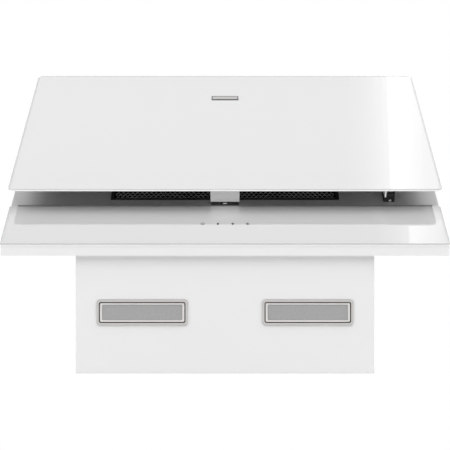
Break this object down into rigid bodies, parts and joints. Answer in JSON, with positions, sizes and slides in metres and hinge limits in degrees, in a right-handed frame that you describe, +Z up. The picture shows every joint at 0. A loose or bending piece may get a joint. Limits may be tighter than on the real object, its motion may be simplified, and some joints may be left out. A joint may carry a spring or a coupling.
{
  "type": "range hood",
  "caption": "Wall-mounted range hood with two leaning white glass panels, a hinged lid over grease filters, a narrower upright housing with lamps, and a rear duct spigot.",
  "frame": {"origin": "middle of the width and depth, at the height of the housing's floor", "axes": "+Z up, -Y towards the room, +X along the width"},
  "size_m": [0.9, 0.4841, 0.6551],
  "materials": {
    "white_glass": "back-painted float glass, polished edges",
    "white_paint": "white powder coat, satin",
    "zinc_steel": "zinc-plated sheet",
    "steel": "satin steel",
    "chrome_rod": "hard chrome",
    "filter_mesh": "layers of expanded mesh",
    "filter_frame": "rolled aluminium, dark",
    "lamp_rim": "fine satin",
    "lamp_frame": "moulded, satin",
    "lamp_lens": "fine-grained diffuser",
    "grey_plastic": "moulded, satin",
    "dark_plastic": "moulded, fine grain",
    "black_paint": "black enamel",
    "rubber": "soft rubber",
    "magnet": "ferrite block",
    "board": "coated circuit board",
    "motor": "painted motor can",
    "impeller": "moulded fan wheel",
    "badge": "bare satin plate"
  },
  "bodies": {
    "hood": {"back_panel": "zinc_steel", "blower_foot_left": "zinc_steel", "blower_foot_right": "zinc_steel", "bracket_screws": "steel", "cable_grommet": "rubber", "canopy_pan": "white_paint", "control_board": "board", "control_cover": "dark_plastic", "control_glass": "white_glass", "flap_pins": "steel", "hinge_base_left": "zinc_steel", "hinge_base_right": "zinc_steel", "hinge_pin_left": "steel", "hinge_pin_right": "steel", "inlet_ring_left": "dark_plastic", "inlet_ring_right": "dark_plastic", "keeper_post": "black_paint", "lamp_body_left": "zinc_steel", "lamp_body_right": "zinc_steel", "lamp_frame_left": "lamp_frame", "lamp_frame_right": "lamp_frame", "lamp_lens_left": "lamp_lens", "lamp_lens_right": "lamp_lens", "lamp_rim_left": "lamp_rim", "lamp_rim_right": "lamp_rim", "lid_buffers": "rubber", "lower_housing": "white_paint", "motor_body": "motor", "motor_mount": "zinc_steel", "outlet_spigot": "dark_plastic", "scroll_left": "dark_plastic", "scroll_right": "dark_plastic", "strut_bracket": "dark_plastic", "strut_pin": "steel", "terminal_box": "dark_plastic", "wall_bracket": "zinc_steel"},
    "lid": {"lid_glass": "white_glass", "lid_frame": "zinc_steel", "badge_plate": "badge", "catch_housing": "grey_plastic", "catch_magnet": "magnet", "hinge_leaf_left": "zinc_steel", "hinge_leaf_right": "zinc_steel", "strut_rail": "white_paint", "strut_stud": "steel"},
    "strut_tube": {"strut_tube": "black_paint"},
    "strut_rod": {"strut_rod": "chrome_rod"},
    "filter_left": {"filter_frame_left": "filter_frame", "filter_mesh_left": "filter_mesh", "handle_plate_left": "steel"},
    "filter_right": {"filter_frame_right": "filter_frame", "filter_mesh_right": "filter_mesh", "handle_plate_right": "steel"},
    "handle_left": {"filter_handle_left": "steel"},
    "handle_right": {"filter_handle_right": "steel"},
    "fan": {"impeller": "impeller", "impeller_blades": "impeller", "impeller_shaft": "steel"},
    "flap_left": {"damper_flap_left": "grey_plastic"},
    "flap_right": {"damper_flap_right": "grey_plastic"}
  },
  "joints": [
    {"name": "lid_hinge", "type": "hinge", "parent": "hood", "child": "lid", "pos_m": [0, 0.16072, 0.63314], "axis": [-1, 0, 0], "range_deg": [0, 50]},
    {"name": "strut_swing", "type": "hinge", "parent": "hood", "child": "strut_tube", "pos_m": [0.345, -0.12678, 0.36688], "axis": [1, 0, 0], "range_deg": [0, 23.34]},
    {"name": "strut_slide", "type": "slide", "parent": "strut_tube", "child": "strut_rod", "axis": [0, 0.764, 0.6452], "range_m": [0, 0.0642]},
    {"name": "filter_left_tilt", "type": "hinge", "parent": "hood", "child": "filter_left", "pos_m": [-0.121, -0.12162, 0.35176], "axis": [1, 0, 0], "range_deg": [0, 6]},
    {"name": "handle_left_fold", "type": "hinge", "parent": "filter_left", "child": "handle_left", "pos_m": [-0.121, -0.08509, 0.38372], "axis": [1, 0, 0], "range_deg": [0, 80]},
    {"name": "flap_left_swing", "type": "hinge", "parent": "hood", "child": "flap_left", "pos_m": [-0.004, 0.1805, 0.25475], "axis": [0, 0, -1], "range_deg": [0, 60], "stiffness_Nm_per_rad": 0.01},
    {"name": "filter_right_tilt", "type": "hinge", "parent": "hood", "child": "filter_right", "pos_m": [0.121, -0.12162, 0.35176], "axis": [1, 0, 0], "range_deg": [0, 6]},
    {"name": "handle_right_fold", "type": "hinge", "parent": "filter_right", "child": "handle_right", "pos_m": [0.121, -0.08509, 0.38372], "axis": [1, 0, 0], "range_deg": [0, 80]},
    {"name": "flap_right_swing", "type": "hinge", "parent": "hood", "child": "flap_right", "pos_m": [0.004, 0.1805, 0.25475], "axis": [0, 0, 1], "range_deg": [0, 60], "stiffness_Nm_per_rad": 0.01},
    {"name": "fan_spin", "type": "hinge", "parent": "hood", "child": "fan", "pos_m": [0, 0.04, 0.15], "axis": [1, 0, 0], "continuous": true}
  ],
  "couplings": [
    {"joint": "strut_swing", "follows": "lid_hinge", "ratio": 0.46089},
    {"joint": "strut_slide", "follows": "lid_hinge", "m_per_rad": 0.073042}
  ]
}
